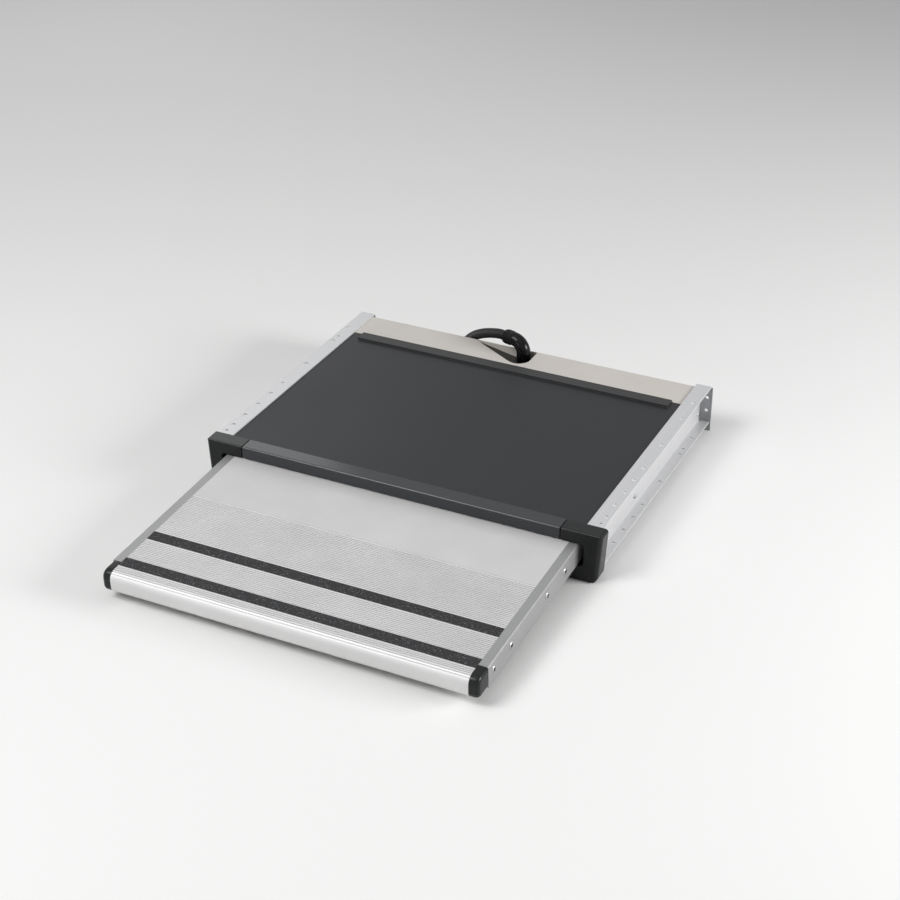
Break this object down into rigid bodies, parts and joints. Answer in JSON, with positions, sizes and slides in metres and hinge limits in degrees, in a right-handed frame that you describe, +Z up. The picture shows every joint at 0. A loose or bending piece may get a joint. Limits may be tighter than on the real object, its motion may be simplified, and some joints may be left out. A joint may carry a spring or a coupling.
{
  "type": "slide-out entrance step",
  "caption": "Low flat case that bolts under a floor; a ribbed tread with grip strips slides out of it on a gentle slope, driven by a hidden screw and fed through a ribbed conduit.",
  "frame": {"origin": "middle of the step, on the lowest edge of its case, with the tread out as in the picture", "axes": "+Z up, -Y the way the tread slides out, +X to the right for someone who looks at the bezel from in front"},
  "size_m": [0.6142, 0.8111, 0.1067],
  "materials": {
    "rail_aluminium": "bright mill finish, extruded",
    "tread_aluminium": "satin anodised, extruded",
    "tread_rail_aluminium": "satin anodised",
    "plate_paint": "anthracite powder coat",
    "cover_paint": "warm grey, matt",
    "bezel_paint": "anthracite powder coat, slightly glossy",
    "cap_plastic": "fine grained black",
    "grip_tape": "coarse black grit",
    "zinc_steel": "zinc plated",
    "galvanised_sheet": "galvanised",
    "nylon": "natural nylon",
    "stop_rubber": "matt black",
    "cast_alloy": "die cast",
    "motor_paint": "black",
    "motor_plastic": "black",
    "bronze": "sintered bronze",
    "screw_steel": "rolled steel",
    "elbow_plastic": "glossy black",
    "conduit_plastic": "black, corrugated"
  },
  "bodies": {
    "case": {"left_side_rail": "rail_aluminium", "right_side_rail": "rail_aluminium", "left_plate_ledge": "rail_aluminium", "right_plate_ledge": "rail_aluminium", "top_plate": "plate_paint", "rear_cover": "cover_paint", "rear_wall": "galvanised_sheet", "bottom_tray": "galvanised_sheet", "front_bezel": "bezel_paint", "left_corner_cap": "cap_plastic", "right_corner_cap": "cap_plastic", "left_lower_runner": "galvanised_sheet", "right_lower_runner": "galvanised_sheet", "left_glide_strip": "nylon", "right_glide_strip": "nylon", "left_upper_guide": "nylon", "right_upper_guide": "nylon", "bump_stops": "stop_rubber", "tray_screws": "zinc_steel", "wall_brackets": "galvanised_sheet", "wall_rivets": "zinc_steel", "gearbox_housing": "cast_alloy", "gearbox_cover": "cast_alloy", "drive_motor": "motor_paint", "motor_end_cap": "motor_plastic", "drive_mount": "galvanised_sheet", "screw_bearing_block": "cast_alloy", "screw_bush": "bronze", "conduit_elbow": "elbow_plastic", "elbow_locknut": "elbow_plastic", "conduit": "conduit_plastic", "conduit_plug": "conduit_plastic"},
    "tread": {"ribbed_tread_panel": "tread_aluminium", "plain_tread_panel": "tread_aluminium", "left_tread_rail": "tread_rail_aluminium", "right_tread_rail": "tread_rail_aluminium", "front_grip_strip": "grip_tape", "rear_grip_strip": "grip_tape", "left_nose_cap": "cap_plastic", "right_nose_cap": "cap_plastic", "tread_screws": "zinc_steel", "rear_crossbar": "cast_alloy", "nut_bracket": "galvanised_sheet", "drive_nut": "nylon", "left_rear_shoe": "nylon", "right_rear_shoe": "nylon"},
    "screw": {"lead_screw": "screw_steel"}
  },
  "joints": [
    {"name": "tread_slide", "type": "slide", "parent": "case", "child": "tread", "axis": [0, 0.9993, 0.037], "range_m": [0, 0.298]},
    {"name": "lead_screw_spin", "type": "hinge", "parent": "case", "child": "screw", "pos_m": [0.11, 0.12451, 0.02474], "axis": [0, 0.9993, 0.037], "range_deg": [0, 5365]}
  ],
  "couplings": [
    {"joint": "lead_screw_spin", "follows": "tread_slide", "rad_per_m": 314.16}
  ]
}
